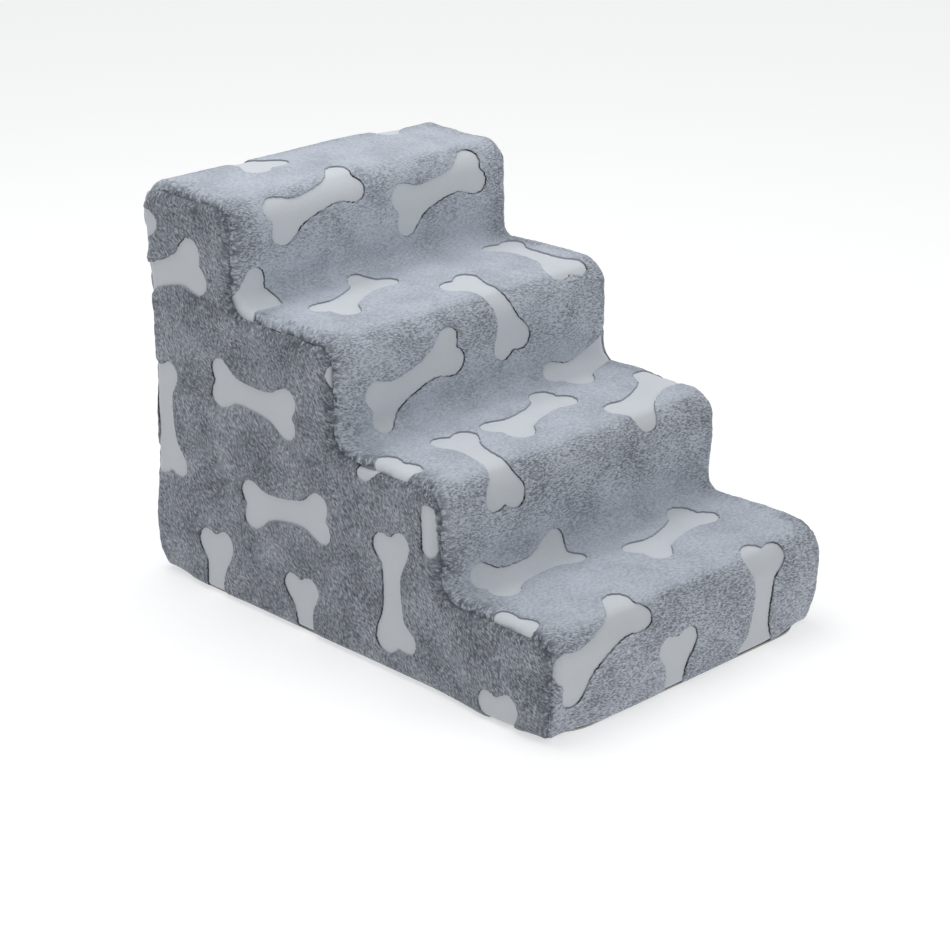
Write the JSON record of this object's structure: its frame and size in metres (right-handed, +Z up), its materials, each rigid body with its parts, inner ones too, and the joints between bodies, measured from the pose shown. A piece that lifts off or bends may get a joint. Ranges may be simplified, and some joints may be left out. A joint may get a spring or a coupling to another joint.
{
  "type": "pet stairs",
  "caption": "Straight flight of four soft foam steps for small pets, in a plush bone-pattern cover with a zip across its back and non-slip cloth underneath.",
  "frame": {"origin": "on the floor at the middle of the footprint", "axes": "+Z up, -Y towards the lowest step and its front, +Y towards the high back, +X to the right when facing the back from the front"},
  "size_m": [0.368, 0.55, 0.4],
  "materials": {
    "foam": "open-cell cushion foam",
    "plush": "short-pile plush with recessed smooth bone shapes",
    "base_cloth": "woven cloth with rubber dots",
    "zip_tape": "woven polyester tape",
    "zip_coil": "nylon monofilament",
    "zip_metal": "satin enamel on zinc"
  },
  "bodies": {
    "stairs": {"foam_slab_1": "foam", "foam_slab_2": "foam", "foam_slab_3": "foam", "foam_slab_4": "foam", "stair_panel": "plush", "left_side_panel": "plush", "right_side_panel": "plush", "back_panel_upper": "plush", "back_panel_lower": "plush", "bottom_panel": "base_cloth", "zip_tape_upper": "zip_tape", "zip_tape_lower": "zip_tape", "zip_coil_upper": "zip_coil", "zip_coil_lower": "zip_coil", "zip_top_stops": "zip_metal", "zip_bottom_stop": "zip_metal"},
    "slider": {"zip_slider": "zip_metal"},
    "tab": {"zip_pull_tab": "zip_metal"}
  },
  "joints": [
    {"name": "zip_travel", "type": "slide", "parent": "stairs", "child": "slider", "axis": [-1, 0, 0], "range_m": [0, 0.276]},
    {"name": "tab_swing", "type": "hinge", "parent": "slider", "child": "tab", "pos_m": [0.138, 0.272, 0.062], "axis": [0, 0, -1], "range_deg": [0, 170]}
  ]
}
